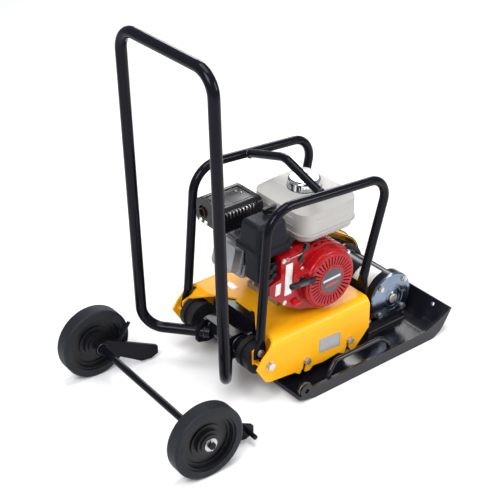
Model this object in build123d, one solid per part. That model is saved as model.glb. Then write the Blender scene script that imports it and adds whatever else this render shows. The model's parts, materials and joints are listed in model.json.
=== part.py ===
from build123d import *
import math
import os

# Vibrating plate compactor with a folding handle, a small petrol engine and a detached transport trolley.
# Millimetres. +X is the travel direction, +Y the machine's left side, +Z up.
# The origin is the middle of the flat sole, on the ground.

os.makedirs("parts", exist_ok=True)

# ---- base plate ----
PLATE_HALF_WIDTH = 250
PLATE_REAR_X = -280
PLATE_FRONT_X = 284
PLATE_THICKNESS = 10
LIP_TOP_Z = 77
SIDE_WALL = 8
SIDE_WALL_TOP = 36
LUG_X, LUG_Z, LUG_RADIUS, LUG_BORE = -252, 33, 20, 7

# ---- deck that carries the engine ----
DECK_TOP = 183
DECK_HALF_WIDTH = 187
DECK_SHEET = 5
DECK_FRONT_X = 23
DECK_BEND = 22
TAIL_X, TAIL_Z, TAIL_HALF_WIDTH = -338, 160, 155

# ---- rubber mounts between base plate and deck ----
MOUNT_POINTS = ((-201, 75), (-47, 75))
MOUNT_RADIUS = 34
MOUNT_INNER_Y = 132

# ---- handle and its pivot ----
PIVOT_X, PIVOT_Z = -327, 114
PIN_RADIUS = 10
HANDLE_TUBE = 15
HANDLE_WALL = 2.5
HANDLE_HALF_WIDTH = 184.5
HANDLE_BOTTOM_X, HANDLE_BOTTOM_Z = -471, 107
HANDLE_TOP_X, HANDLE_TOP_Z = -496, 975
YOKE_HALF_LENGTH = 92
BUFFER_RADIUS = 44

# ---- protective hoops ----
HOOP_TUBE = 12.5
HOOP_WALL = 2.5
HOOP_Y = 154
HOOP_REAR_TOP = (-307, 548)
HOOP_FRONT_TOP = (103, 515)
BAR_X = -130

# ---- exciter ----
EXCITER_X, EXCITER_Z = 150, 111
EXCITER_DRUM_RADIUS = 74
EXCITER_TUBE_RADIUS = 56

# ---- engine ----
CRANK_X, CRANK_Z = -115, DECK_TOP + 106
RECOIL_Y = -180
BORE_TILT = 15
BELT_Y = 108
EXHAUST_Y, EXHAUST_Z = 90, 449
OUTLET_X, OUTLET_Z = -212, 325
CLUTCH_RADIUS = 50
TANK_X0, TANK_X1, TANK_Y0, TANK_Y1 = -172, 22, -132, 88
TANK_BOTTOM, TANK_TOP = 384, 500
CAP_X, CAP_Y, CAP_RADIUS = -90, -34, 45
CLEANER_SEAM = 420
CHOKE_PIN, FUEL_PIN = (-276, 370), (-276, 346)
THROTTLE_PIN = (-198, 370)
SWITCH_PIN = (-213, 247)
PULLEY_RADIUS = 68

# ---- trolley ----
TROLLEY_X, TROLLEY_Y, TROLLEY_YAW = -622, -50, -2
WHEEL_RADIUS, WHEEL_WIDTH, TRACK = 100, 44, 523
AXLE_RADIUS = 9.5

FIT = 0.05


# ---------------------------------------------------------------- helpers
def block(x0, x1, y0, y1, z0, z1):
    """A box between two corners."""
    size = Box(x1 - x0, y1 - y0, z1 - z0)
    return Pos((x0 + x1) / 2, (y0 + y1) / 2, (z0 + z1) / 2) * size


def rod_y(x, z, y0, y1, radius):
    """A cylinder along Y between y0 and y1."""
    return Pos(x, (y0 + y1) / 2, z) * Rot(90, 0, 0) * Cylinder(radius, y1 - y0)


def rod_x(y, z, x0, x1, radius):
    """A cylinder along X between x0 and x1."""
    return Pos((x0 + x1) / 2, y, z) * Rot(0, 90, 0) * Cylinder(radius, x1 - x0)


def rod_z(x, y, z0, z1, radius):
    """A cylinder along Z between z0 and z1."""
    return Pos(x, y, (z0 + z1) / 2) * Cylinder(radius, z1 - z0)


def rod_between(start, end, radius):
    """A straight cylinder from one point to another."""
    direction = Vector(*end) - Vector(*start)
    plane = Plane(origin=start, z_dir=direction)
    return plane * Pos(0, 0, direction.length / 2) * Cylinder(radius, direction.length)


def ring_y(x, z, y0, y1, outer, inner):
    """A tube along Y."""
    return rod_y(x, z, y0, y1, outer) - rod_y(x, z, y0 - 1, y1 + 1, inner)


def plate_xz(points, y0, y1, corner=0):
    """A flat plate with an outline in X and Z, between y0 and y1."""
    outline = Plane.XZ * make_face(Polyline(*points, close=True))
    plate = Pos(0, y1, 0) * extrude(outline, y1 - y0)
    if corner:
        plate = fillet(plate.edges().filter_by(Axis.Y), corner)
    return plate


def mirror_y(shape):
    """The same piece on the other side of the machine."""
    return mirror(shape, about=Plane.XZ)


def both_sides(shape):
    """A piece and its mirror image, as separate solids."""
    return solids_group(shape, mirror_y(shape))


def solids_group(*shapes):
    """Separate solids kept together in one node."""
    solids = []
    for shape in shapes:
        solids += shape.solids()
    return Compound(children=solids)


def minus(shape, *tools):
    """Cuts every solid of the tools out of the shape."""
    for tool in tools:
        shape = shape - tool.solids()
    return shape


def folded_outline(points, thickness, bend):
    """Closed outline of a folded sheet whose second side lies to the left of the given points."""
    count = len(points)
    steps = [(Vector(*points[i + 1]) - Vector(*points[i])).normalized() for i in range(count - 1)]
    normals = [Vector(-step.Y, step.X) for step in steps]
    second, given_radii, second_radii = [], [], []
    for i, point in enumerate(points):
        before = normals[max(i - 1, 0)]
        after = normals[min(i, count - 2)]
        shift = (before + after) * (thickness / (1 + before.dot(after)))
        second.append(Vector(*point) + shift)
        if 0 < i < count - 1:
            left_turn = steps[i - 1].cross(steps[i]).Z > 0
            given_radii.append(bend + thickness if left_turn else bend)
            second_radii.append(bend if left_turn else bend + thickness)
    first = FilletPolyline(*points, radius=given_radii)
    other = FilletPolyline(*[(v.X, v.Y) for v in second], radius=second_radii)
    ends = [Line(first @ 0, other @ 0), Line(first @ 1, other @ 1)]
    return make_face([*first.edges(), *other.edges(), *ends[0].edges(), *ends[1].edges()])


def bent_tube(points, bend_radii, radius, wall):
    """A round tube along straight runs joined by tangent arcs."""
    path = FilletPolyline(*points, radius=bend_radii)
    start = Plane(origin=path @ 0, z_dir=path % 0)
    ring = start * (Circle(radius) - Circle(radius - wall)) if wall else start * Circle(radius)
    return sweep(ring, path=path)


def hex_bolt_y(x, z, y_face, length, side, radius=5, flats=8.5):
    """A hex bolt with a washer; its head is outside y_face, and its shank runs inward."""
    out = side
    washer = rod_y(x, z, *sorted((y_face, y_face + out * 2)), radius * 2.1)
    head_face = Plane(origin=(x, y_face + out * 2, z), z_dir=(0, out, 0))
    head = extrude(head_face * RegularPolygon(flats, 6, major_radius=False), radius * 1.3)
    shank = rod_y(x, z, *sorted((y_face + out, y_face - out * length)), radius)
    return washer + head + shank


def hex_bolt(origin, direction, length, radius, flats):
    """A hex bolt with a flange whose head stands on origin, and whose shank points away from direction."""
    plane = Plane(origin=origin, z_dir=direction)
    flange = plane * Pos(0, 0, 0.8) * Cylinder(flats * 1.25, 1.6)
    head = extrude(plane * Pos(0, 0, 1.6) * RegularPolygon(flats, 6, major_radius=False), radius * 1.3)
    shank = plane * Pos(0, 0, -length / 2) * Cylinder(radius, length)
    return flange + head + shank


def around(count, radius, start=0.0):
    """Evenly spaced points on a circle, as pairs."""
    turns = [math.radians(start + 360 * i / count) for i in range(count)]
    return [(radius * math.cos(turn), radius * math.sin(turn)) for turn in turns]


def save(name, shape):
    """Writes one node to its own file."""
    export_step(shape, f"parts/{name}.step")


# ---------------------------------------------------------------- base plate
def make_lug(side):
    """Rear boss whose bore takes the trolley's hook pin."""
    inner, outer = sorted((side * (PLATE_HALF_WIDTH - 16), side * PLATE_HALF_WIDTH))
    return rod_y(LUG_X, LUG_Z, inner, outer, LUG_RADIUS)


def make_mount_post(x, z, side):
    """Upright steel plate on the sole that carries the inner end of one rubber mount."""
    y0, y1 = sorted((side * (MOUNT_INNER_Y - 10), side * MOUNT_INNER_Y))
    post = plate_xz([(x - 45, 6), (x + 45, 6), (x + 30, z), (x + 30, z + 28), (x - 30, z + 28), (x - 30, z)], y0, y1)
    return post - rod_y(x, z, y0 - 1, y1 + 1, 5)


def make_exciter_rail(side):
    """Raised pad on the sole that the exciter's foot is bolted to."""
    y0, y1 = sorted((side * 70, side * 128))
    return block(EXCITER_X - 70, EXCITER_X + 70, y0, y1, 5, 24)


def make_base_plate():
    sole = [(PLATE_FRONT_X, LIP_TOP_Z), (246, 16), (216, 0), (-225, 0), (PLATE_REAR_X, 16)]
    sheet = folded_outline(sole[::-1], PLATE_THICKNESS, 40)
    width = 2 * PLATE_HALF_WIDTH
    plate = Pos(0, PLATE_HALF_WIDTH, 0) * extrude(Plane.XZ * sheet, width)
    wall_outline = [(-268, 20), (-262, SIDE_WALL_TOP), (185, SIDE_WALL_TOP), (232, 52),
                    (PLATE_FRONT_X - 3, LIP_TOP_Z), (248, 22), (224, 6), (-232, 6)]
    for side in (-1, 1):
        y0, y1 = sorted((side * (PLATE_HALF_WIDTH - SIDE_WALL), side * PLATE_HALF_WIDTH))
        plate += plate_xz(wall_outline, y0, y1)
        plate += make_lug(side)
        plate += make_exciter_rail(side)
        for x, z in MOUNT_POINTS:
            plate += make_mount_post(x, z, side)
        plate -= rod_y(LUG_X, LUG_Z, -PLATE_HALF_WIDTH - 5, PLATE_HALF_WIDTH + 5, LUG_BORE)
        hole = Plane(origin=(271, side * 192, 64), z_dir=(0.85, 0, -0.53))
        plate -= hole * Cylinder(6, 40)
    return plate


def make_lifting_grip():
    """Bent rod welded to the inside of a side wall, for lifting the plate by hand."""
    y = -PLATE_HALF_WIDTH + SIDE_WALL + 6.5
    route = [(-176, y, 14), (-160, y, 50), (-137, y + 4, 72), (27, y + 4, 73), (52, y, 52), (60, y, 14)]
    return bent_tube(route, [22, 22, 22, 18], 6.5, 0)


# ---------------------------------------------------------------- exciter
def make_exciter_housing():
    body = rod_y(EXCITER_X, EXCITER_Z, -112, 64, EXCITER_TUBE_RADIUS)
    for y0, y1 in ((-134, -110), (62, 84)):
        body += rod_y(EXCITER_X, EXCITER_Z, y0, y1, EXCITER_DRUM_RADIUS)
    for y0, y1 in ((-124, -74), (26, 82)):
        body += block(EXCITER_X - 66, EXCITER_X + 66, y0, y1, 24, 38)
        body += block(EXCITER_X - 50, EXCITER_X + 50, y0 + 8, y1 - 8, 36, EXCITER_Z)
    body -= rod_y(EXCITER_X, EXCITER_Z, -140, 90, 46)
    return body


def make_right_cover():
    """Pressed end cover: a shallow dome with fine rings round its middle, closed at the rim."""
    profile = Polyline((0, -134), (EXCITER_DRUM_RADIUS, -134), (EXCITER_DRUM_RADIUS, -137), (71, -140), (60, -142.5),
                       (40, -145), (39, -144.4), (33, -145.2), (32, -145.8), (26, -146.4), (25, -145.8), (20, -146.2),
                       (19, -147), (0, -147), close=True)
    return Pos(EXCITER_X, 0, EXCITER_Z) * revolve(Plane.XY * make_face(profile), axis=Axis.Y)


def make_left_cover():
    """Flat end cover with a hole for the shaft."""
    return ring_y(EXCITER_X, EXCITER_Z, 84, 88, 60, 16)


def make_exciter_plug():
    """Oil plug low on the right-hand drum, on the side that faces the deck."""
    return hex_bolt((EXCITER_X - 50, -118, 62), (-0.8, 0, -0.1), 14, 6, 9)


def make_exciter_bolts():
    centre = rod_y(EXCITER_X, EXCITER_Z, -151, -147, 14) + rod_y(EXCITER_X, EXCITER_Z, -148, -134.5, 6)
    bolts = [fillet(centre.edges().filter_by(GeomType.CIRCLE).sort_by(Axis.Y)[0], 1.5)]
    for dx, dz in around(4, 62, 45):
        bolts.append(hex_bolt((EXCITER_X + dx, -142.6, EXCITER_Z + dz), (0, -1, 0), 12, 4, 6.5))
    for dx, dz in around(4, 53, 45):
        bolts.append(hex_bolt((EXCITER_X + dx, 88, EXCITER_Z + dz), (0, 1, 0), 18, 3, 5))
    for y in (-112, 54):
        for dx in (-58, 58):
            bolts.append(hex_bolt((EXCITER_X + dx, y, 38), (0, 0, 1), 26, 5, 8))
    return solids_group(*bolts)


def make_eccentric_shaft():
    shaft = rod_y(EXCITER_X, EXCITER_Z, -120, 122, 14)
    shaft += rod_y(EXCITER_X, EXCITER_Z, -96, 48, 20)
    half = rod_y(EXCITER_X, EXCITER_Z, -78, 30, 42) - block(EXCITER_X - 60, EXCITER_X + 60, -100, 60, EXCITER_Z, 300)
    return shaft + half


def make_exciter_bearings():
    right = ring_y(EXCITER_X, EXCITER_Z, -118, -98, 46, 14 + FIT)
    left = ring_y(EXCITER_X, EXCITER_Z, 52, 72, 46, 14 + FIT)
    groove = [ring_y(EXCITER_X, EXCITER_Z, y, y + 3, 36, 26) for y in (-118, 69)]
    return solids_group(minus(right, groove[0]), minus(left, groove[1]))


def make_exciter_pulley():
    pulley = rod_y(EXCITER_X, EXCITER_Z, 97, 119, PULLEY_RADIUS)
    groove = Plane.XY * make_face(Polyline((PULLEY_RADIUS + 1, -8), (PULLEY_RADIUS + 1, 8),
                                           (PULLEY_RADIUS - 11, 5), (PULLEY_RADIUS - 11, -5), close=True))
    cutter = revolve(groove, axis=Axis.Y)
    pulley -= Pos(EXCITER_X, BELT_Y, EXCITER_Z) * cutter
    pulley -= ring_y(EXCITER_X, EXCITER_Z, 94, 99, 50, 24)
    pulley -= ring_y(EXCITER_X, EXCITER_Z, 117, 122, 50, 24)
    pulley += ring_y(EXCITER_X, EXCITER_Z, 91, 98, 23, 14)
    return pulley - rod_y(EXCITER_X, EXCITER_Z, 90, 125, 14)


# ---------------------------------------------------------------- belt drive
def belt_loop(clutch, pulley):
    """Outline of a belt round both pulleys, in the plane of X and Z."""
    small = Pos(CRANK_X, CRANK_Z) * Circle(clutch)
    large = Pos(EXCITER_X, EXCITER_Z) * Circle(pulley)
    return make_hull([*small.edges(), *large.edges()])


def make_v_belt():
    outer = belt_loop(CLUTCH_RADIUS - 0.5, PULLEY_RADIUS - 0.5)
    inner = belt_loop(CLUTCH_RADIUS - 9, PULLEY_RADIUS - 9)
    band = Plane.XZ * (outer - inner)
    return Pos(0, BELT_Y + 4.5, 0) * extrude(band, 9)


def make_clutch_drum():
    drum = rod_y(CRANK_X, CRANK_Z, 96, 120, CLUTCH_RADIUS + 2)
    profile = Polyline((CLUTCH_RADIUS + 3, -8), (CLUTCH_RADIUS + 3, 8),
                       (CLUTCH_RADIUS - 11, 5), (CLUTCH_RADIUS - 11, -5), close=True)
    groove = revolve(Plane.XY * make_face(profile), axis=Axis.Y)
    drum -= Pos(CRANK_X, BELT_Y, CRANK_Z) * groove
    drum -= rod_y(CRANK_X, CRANK_Z, 90, 112, 32)
    return drum - rod_y(CRANK_X, CRANK_Z, 90, 130, 10 + FIT)


def make_clutch_hub():
    """Centrifugal clutch: a hub with two shoes that sits inside the drum."""
    hub = rod_y(CRANK_X, CRANK_Z, 90, 110, 17)
    shoes = ring_y(CRANK_X, CRANK_Z, 94, 110, 30, 19)
    shoes -= block(CRANK_X - 2, CRANK_X + 2, 80, 120, CRANK_Z - 40, CRANK_Z + 40)
    spokes = block(CRANK_X - 26, CRANK_X + 26, 96, 104, CRANK_Z - 5, CRANK_Z + 5)
    return hub + shoes + spokes - rod_y(CRANK_X, CRANK_Z, 80, 120, 10)


def make_belt_guard():
    """Sheet cover over both pulleys, open towards the machine."""
    outer = Plane.XZ * belt_loop(74, 88)
    inner = Plane.XZ * belt_loop(71, 85)
    shell = Pos(0, 128, 0) * extrude(outer, 38) - Pos(0, 125, 0) * extrude(inner, 38)
    shell += Pos(0, 128, 0) * extrude(Plane.XZ * (belt_loop(77, 91) - belt_loop(73, 87)), 3)
    shell &= block(-400, 400, 80, 140, 24, 500)
    ear = plate_xz([(-195, 240), (-178, 240), (-178, 330), (-195, 330)], 87, 90)
    shell -= block(-400, 60, 80, 133, 0, DECK_TOP + 3)
    return shell + ear - block(8, 60, 80, 133, 0, DECK_TOP + 42)


# ---------------------------------------------------------------- deck
def make_mount_slots(side):
    """Open slots at the rubber mounts, so that the deck drops over their bolts."""
    cuts = []
    y0, y1 = sorted((side * 170, side * 200))
    for x, z in MOUNT_POINTS:
        slot = rod_y(x, z, y0, y1, 7)
        lane = plate_xz([(x - 7, z), (x + 5, z + 3), (x - 9, 20), (x - 23, 20)], y0, y1)
        cuts += [slot, lane]
    return cuts


def make_deck():
    half, top = DECK_HALF_WIDTH, DECK_TOP
    section = [(-half, 30), (-half, top), (half, top), (half, 30)]
    channel = Plane.YZ * folded_outline(section[::-1], DECK_SHEET, DECK_BEND)
    deck = Pos(-372, 0, 0) * extrude(channel, DECK_FRONT_X + 372)
    keep = plate_xz([(DECK_FRONT_X, top + 1), (DECK_FRONT_X, 88), (-9, 56), (-24, 40), (-40, 37), (-52, 58),
                     (-66, 39), (-88, 50), (-141, 44), (-178, 48), (-190, 38), (-206, 40), (-214, 58), (-224, 40),
                     (-242, 53), (-330, 62), (-341, 68), (-370, 114), (-352, 140), (-300, 186)],
                    -half - 1, half + 1, 4)
    deck = deck & keep
    deck += plate_xz([(-296, top), (TAIL_X, TAIL_Z), (TAIL_X, TAIL_Z - 5.5), (-296, top - 5.5)],
                     -TAIL_HALF_WIDTH, TAIL_HALF_WIDTH)
    for side in (-1, 1):
        y0, y1 = sorted((side * (TAIL_HALF_WIDTH - DECK_SHEET), side * TAIL_HALF_WIDTH))
        deck += plate_xz([(-358, 112), (-358, 152), (TAIL_X - 3, TAIL_Z), (-300, 180), (-300, 112)], y0, y1)
        ledge = sorted((side * (TAIL_HALF_WIDTH - DECK_SHEET), side * (half - 1)))
        deck += block(-352, -318, *ledge, 112, 116)
        corner = extrude(make_face(Polyline((-400, side * 160), (TAIL_X, side * 150), (-298, side * 90),
                                            (-262, side * 42), (-262, 0), (-400, 0), close=True)), 400)
        deck -= corner & block(-400, -200, -149, 149, 120, 300)
        for cut in make_mount_slots(side):
            deck -= cut
    tongue = plate_xz([(-266, top), (-258, top), (-268, 136), (-276, 136)], -32, 32)
    deck += tongue + block(-268, -250, -32, 32, top - DECK_SHEET, top)
    deck += block(DECK_FRONT_X - DECK_SHEET, DECK_FRONT_X, -165, 165, 118, top - 2)
    return deck - block(-80, 40, 94, 122, 100, 200)


def make_isolators():
    mounts = []
    for x, z in MOUNT_POINTS:
        outer, inner = -(DECK_HALF_WIDTH - DECK_SHEET), -MOUNT_INNER_Y
        rubber = rod_y(x, z, outer + 3, inner - 3, MOUNT_RADIUS)
        rubber -= ring_y(x, z, outer + 12, inner - 12, MOUNT_RADIUS + 5, MOUNT_RADIUS - 5)
        rubber += rod_y(x, z, outer, inner, MOUNT_RADIUS - 4)
        rubber -= rod_y(x, z, outer - 1, inner + 1, 5)
        mounts += [rubber, mirror_y(rubber)]
    return solids_group(*mounts)


def make_isolator_bolts():
    bolts = []
    for x, z in MOUNT_POINTS:
        for side in (-1, 1):
            bolts.append(hex_bolt_y(x, z, side * DECK_HALF_WIDTH, DECK_HALF_WIDTH - MOUNT_INNER_Y + 8, side, 5, 9))
    return solids_group(*bolts)


# ---------------------------------------------------------------- handle
def make_handle_frame():
    """Closed loop of tube: two legs, a top bar and two arms that run in to the yoke."""
    half = HANDLE_HALF_WIDTH
    right_side = [(PIVOT_X - 24, -38, PIVOT_Z - 5), (HANDLE_BOTTOM_X, -half, HANDLE_BOTTOM_Z),
                  (HANDLE_TOP_X, -half, HANDLE_TOP_Z)]
    route = right_side + [(x, -y, z) for x, y, z in reversed(right_side)]
    frame = bent_tube(route, [60, 60, 60, 60], HANDLE_TUBE, HANDLE_WALL)
    yoke = rod_y(PIVOT_X, PIVOT_Z, -YOKE_HALF_LENGTH, YOKE_HALF_LENGTH, 24)
    clear = rod_y(PIVOT_X, PIVOT_Z, -YOKE_HALF_LENGTH - 5, YOKE_HALF_LENGTH + 5, 20)
    frame = frame - clear
    for side in (-1, 1):
        y0, y1 = sorted((side * 50, side * 60))
        frame += plate_xz([(-385, 84), (-385, 118), (-360, 146), (-318, 146), (-300, 128), (-300, 96), (-318, 78),
                           (-350, 74)], y0, y1, 8)
    frame += plate_xz([(-352, 142), (-322, 142), (-322, 148), (-352, 148)], -60, 60)
    frame += yoke
    return frame - rod_y(PIVOT_X, PIVOT_Z, -YOKE_HALF_LENGTH - 5, YOKE_HALF_LENGTH + 5, PIN_RADIUS + FIT)


def make_pivot_bolt():
    """Long pin through the yoke, both rubber buffers and the deck's sides."""
    end = DECK_HALF_WIDTH
    pin = rod_y(PIVOT_X, PIVOT_Z, -end + DECK_SHEET, end - DECK_SHEET, PIN_RADIUS)
    pin += rod_y(PIVOT_X, PIVOT_Z, -end - 2, end + 2, 6)
    for side in (-1, 1):
        y0, y1 = sorted((side * end, side * (end + 2)))
        pin += rod_y(PIVOT_X, PIVOT_Z, y0, y1, 13)
        face = Plane(origin=(PIVOT_X, side * (end + 2), PIVOT_Z), z_dir=(0, side, 0))
        pin += extrude(face * RegularPolygon(10, 6, major_radius=False), 8)
    return pin


def make_pivot_buffers():
    outer = DECK_HALF_WIDTH - DECK_SHEET
    rubber = rod_y(PIVOT_X, PIVOT_Z, -148, -97, BUFFER_RADIUS)
    rubber += rod_y(PIVOT_X, PIVOT_Z, -outer, -147, 12.5)
    rubber -= ring_y(PIVOT_X, PIVOT_Z, -132, -113, BUFFER_RADIUS + 5, BUFFER_RADIUS - 6)
    rubber -= rod_y(PIVOT_X, PIVOT_Z, -outer - 1, -90, PIN_RADIUS)
    return both_sides(rubber)


def make_handle_bracket():
    """Steel saddle under the deck's rear edge that stops the yoke when the handle stands upright."""
    bracket = block(-292, -284, -70, 70, 84, 178)
    bracket += block(-292, -240, -70, 70, 172, 178)
    for side in (-1, 1):
        y0, y1 = sorted((side * 64, side * 70))
        bracket += plate_xz([(-290, 84), (-290, 178), (-240, 178)], y0, y1)
    return bracket


def make_handle_stops():
    stops = [rod_x(y, 126, -299.6, -292, 7) for y in (-55, 55)]
    return solids_group(*stops)


# ---------------------------------------------------------------- hoops
def flat_foot(top, bottom, normal, radius=19, thickness=8):
    """Tube end pressed flat: a small weld collar, a smooth change from round to flat, then a tongue."""
    start, end = Vector(*top), Vector(*bottom)
    direction = (end - start).normalized()
    middle = start + direction * 38
    across = Vector(*normal).cross(direction)
    round_end = Plane(origin=start, x_dir=across, z_dir=direction) * Circle(HOOP_TUBE)
    flat_end = Plane(origin=middle, x_dir=across, z_dir=direction) * SlotOverall(2 * radius, thickness)
    neck = loft([round_end, flat_end])
    collar = Plane(origin=start, z_dir=direction) * Cylinder(HOOP_TUBE + 0.5, 9)
    return collar + neck + extrude(flat_end, (end - middle).length)


def make_hoop():
    """Right-hand hoop; the left one is its mirror image."""
    y = -HOOP_Y
    rear_foot = (-340, y - 5.5, 129)
    rear_start = (-334.6, y - 2, 190)
    front_start = (36, -145, 235)
    front_foot = (29, -139, 138)
    corners = [(x, y, z) for x, z in (HOOP_REAR_TOP, HOOP_FRONT_TOP)]
    route = [rear_start, *corners, front_start]
    hoop = bent_tube(route, [75, 60], HOOP_TUBE, HOOP_WALL)
    hoop += flat_foot(rear_start, rear_foot, (0, 1, 0))
    hoop += flat_foot(front_start, front_foot, (1, 0, 0), radius=20)
    return hoop


def make_lifting_bar():
    side_y = HOOP_Y
    rail_z = HOOP_REAR_TOP[1] + (HOOP_FRONT_TOP[1] - HOOP_REAR_TOP[1]) * (BAR_X - HOOP_REAR_TOP[0]) / (
        HOOP_FRONT_TOP[0] - HOOP_REAR_TOP[0])
    route = [(BAR_X, -side_y, rail_z), (BAR_X, 0, 582), (BAR_X, side_y, rail_z)]
    bar = bent_tube(route, [60], 11.5, 2.5)
    for y in (-side_y, side_y):
        rear, front = [(x, y, z) for x, z in (HOOP_REAR_TOP, HOOP_FRONT_TOP)]
        bar -= rod_between(rear, front, HOOP_TUBE)
    return bar


def make_frame_bolts():
    bolts = []
    for side in (-1, 1):
        bolts.append(hex_bolt((-340, side * 164, 146), (0, side, 0), 13.5, 5, 8.5))
        bolts.append(hex_bolt((34.5, side * 140, 152), (1, 0, 0), 24, 5, 8.5))
    return solids_group(*bolts)


# ---------------------------------------------------------------- engine
def bore_plane():
    """Plane at the crank centre whose normal runs out along the tilted cylinder."""
    tilt = math.radians(BORE_TILT)
    return Plane(origin=(CRANK_X, 28, CRANK_Z), x_dir=(0, 1, 0), z_dir=(-math.cos(tilt), 0, math.sin(tilt)))


def bore_block(y0, y1, low, high, start, end):
    """A box in the cylinder's own tilted frame."""
    size = Box(y1 - y0, high - low, end - start)
    return bore_plane() * (Pos((y0 + y1) / 2, (low + high) / 2, (start + end) / 2) * size)


def make_crankcase():
    case = block(CRANK_X - 72, CRANK_X + 80, -70, 72, DECK_TOP + 14, CRANK_Z + 62)
    case = fillet(case.edges().filter_by(Axis.Y), 22)
    case += block(CRANK_X - 86, CRANK_X + 92, -62, 66, DECK_TOP, DECK_TOP + 16)
    case += rod_y(CRANK_X, CRANK_Z, 72, 80, 58)
    case += bore_block(-44, 44, -46, 46, 40, 76)
    for i in range(4):
        x = CRANK_X - 48 + 34 * i
        case += block(x, x + 4, 66, 76, DECK_TOP + 16, CRANK_Z + 40) - rod_y(CRANK_X, CRANK_Z, 60, 90, 58)
    for x in (CRANK_X + 10, CRANK_X + 62):
        for y in (-50, 46):
            case += rod_z(x, y, CRANK_Z + 55, TANK_BOTTOM, 8)
    case -= rod_y(CRANK_X, CRANK_Z, -60, 62, 52)
    case -= rod_y(CRANK_X, CRANK_Z, -80, 90, 12.5)
    case -= bore_plane() * Pos(0, 0, 70) * Cylinder(35, 100)
    case += filler_plane() * Pos(0, 0, -16) * Cylinder(12, 32)
    return case - filler_plane() * Pos(0, 0, -20) * Cylinder(5, 60)


def make_cylinder():
    """Finned barrel and head in one piece."""
    barrel = bore_block(-38, 38, -40, 40, 76, 172)
    fins = [bore_block(-54, 54, -50, 50, 80 + 8.5 * i, 83 + 8.5 * i) for i in range(11)]
    for fin in fins:
        barrel += fillet(fin.edges().filter_by(bore_axis()), 10)
    barrel -= bore_plane() * Pos(0, 0, 116) * Cylinder(34, 80)
    ports = block(-262, -222, -30, 0, CRANK_Z + 26, CRANK_Z + 66)
    return barrel + ports


def bore_axis():
    tilt = math.radians(BORE_TILT)
    return Axis((CRANK_X, 0, CRANK_Z), (-math.cos(tilt), 0, math.sin(tilt)))


def make_rocker_cover():
    cover = bore_block(-42, 42, -38, 38, 172, 204)
    cover = fillet(cover.edges().filter_by(bore_axis()), 14)
    cover += bore_block(-46, 46, -42, 42, 172, 177)
    far = bore_block(-60, 60, -60, 60, 203.9, 210)
    return cover - far


def make_crankshaft():
    """Shaft with two webs and a crank pin; its plain end carries the clutch."""
    shaft = rod_y(CRANK_X, CRANK_Z, -140, 123, 10)
    shaft += rod_y(CRANK_X, CRANK_Z, -69, 78, 12.4)
    for y0, y1 in ((-20, 2), (50, 60)):
        shaft += rod_y(CRANK_X, CRANK_Z, y0, y1, 46) - block(CRANK_X - 60, CRANK_X + 60, y0 - 1, y1 + 1,
                                                           CRANK_Z + 24, CRANK_Z + 60)
    shaft -= rod_y(CRANK_X, CRANK_Z, 4, 48, 30)
    return shaft + rod_y(CRANK_X, CRANK_Z - 28, 0, 52, 11)


def make_flywheel():
    """Cast wheel with fan blades on its outer face and the starter's steel cup."""
    wheel = rod_y(CRANK_X, CRANK_Z, -104, -84, 76)
    wheel -= ring_y(CRANK_X, CRANK_Z, -95, -80, 68, 22)
    for i in range(16):
        blade = block(36, 74, -122, -103, -1.2, 1.2)
        wheel += Pos(CRANK_X, 0, CRANK_Z) * Rot(0, 22.5 * i, 0) * blade
    wheel += ring_y(CRANK_X, CRANK_Z, -134, -103, 33, 30)
    return wheel - rod_y(CRANK_X, CRANK_Z, -160, -80, 10 + FIT)


def make_fan_cover():
    """Red shroud round the flywheel and beside the cylinder, open towards the crankcase."""
    side = plate_xz([(-115, 380), (-185, 380), (-205, 392), (-262, 392), (-262, 334), (-300, 326), (-300, 296),
                     (-244, 244), (-190, 214), (-115, 197)], -150, -104, 4)
    hollow = plate_xz([(-115, 377), (-184, 377), (-204, 389), (-259, 389), (-259, 331), (-297, 323), (-297, 298),
                       (-242, 247), (-189, 217), (-115, 200)], -147, -100, 2)
    cover = rod_y(CRANK_X, CRANK_Z, -150, -74, 94) + side
    cover = cover - hollow - rod_y(CRANK_X, CRANK_Z, -147, -70, 91)
    cover = cover - block(-400, 100, -160, -60, 0, DECK_TOP + 4)
    cover -= rod_y(CRANK_X, CRANK_Z, -152, -140, 66)
    for i in range(7):
        turn = Pos(CRANK_X, 0, CRANK_Z) * Rot(0, -52 - 9 * i, 0)
        cover -= turn * block(72, 86, -152, -144, -2.6, 2.6)
    for row in range(3):
        y0 = -140 + 16 * row
        for turn_angle in (-60, -74, -88, -102):
            cover -= Pos(CRANK_X, 0, CRANK_Z) * Rot(0, turn_angle, 0) * block(88, 98, y0, y0 + 9, -8, 8)
    for pin in (THROTTLE_PIN, SWITCH_PIN):
        cover -= rod_y(*pin, -155, -140, 3 + FIT)
    return cover


def make_recoil_cover():
    """Starter housing: a round cup with a ring of radial slots and a rope outlet."""
    cup = rod_y(CRANK_X, CRANK_Z, -176, -150, 84)
    cup = fillet(cup.edges().filter_by(GeomType.CIRCLE).sort_by(Axis.Y)[0], 8)
    face = rod_y(CRANK_X, CRANK_Z, RECOIL_Y, -170, 77)
    cup += fillet(face.edges().filter_by(GeomType.CIRCLE).sort_by(Axis.Y)[0], 3)
    cup += ring_y(CRANK_X, CRANK_Z, -153, -150, 88, 70)
    cup -= rod_y(CRANK_X, CRANK_Z, -173, -140, 72)
    for i in range(36):
        slot = block(44, 70, -190, -165, -1.9, 1.9)
        cup -= Pos(CRANK_X, 0, CRANK_Z) * Rot(0, 10 * i, 0) * slot
    outlet = block(OUTLET_X - 12, OUTLET_X + 32, -176, -150, OUTLET_Z - 16, OUTLET_Z + 16)
    outlet = fillet(outlet.edges().filter_by(Axis.Y), 6)
    cup += outlet - rod_y(CRANK_X, CRANK_Z, -180, -140, 74)
    return cup - rod_y(OUTLET_X, OUTLET_Z, -182, -140, 4)


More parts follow.
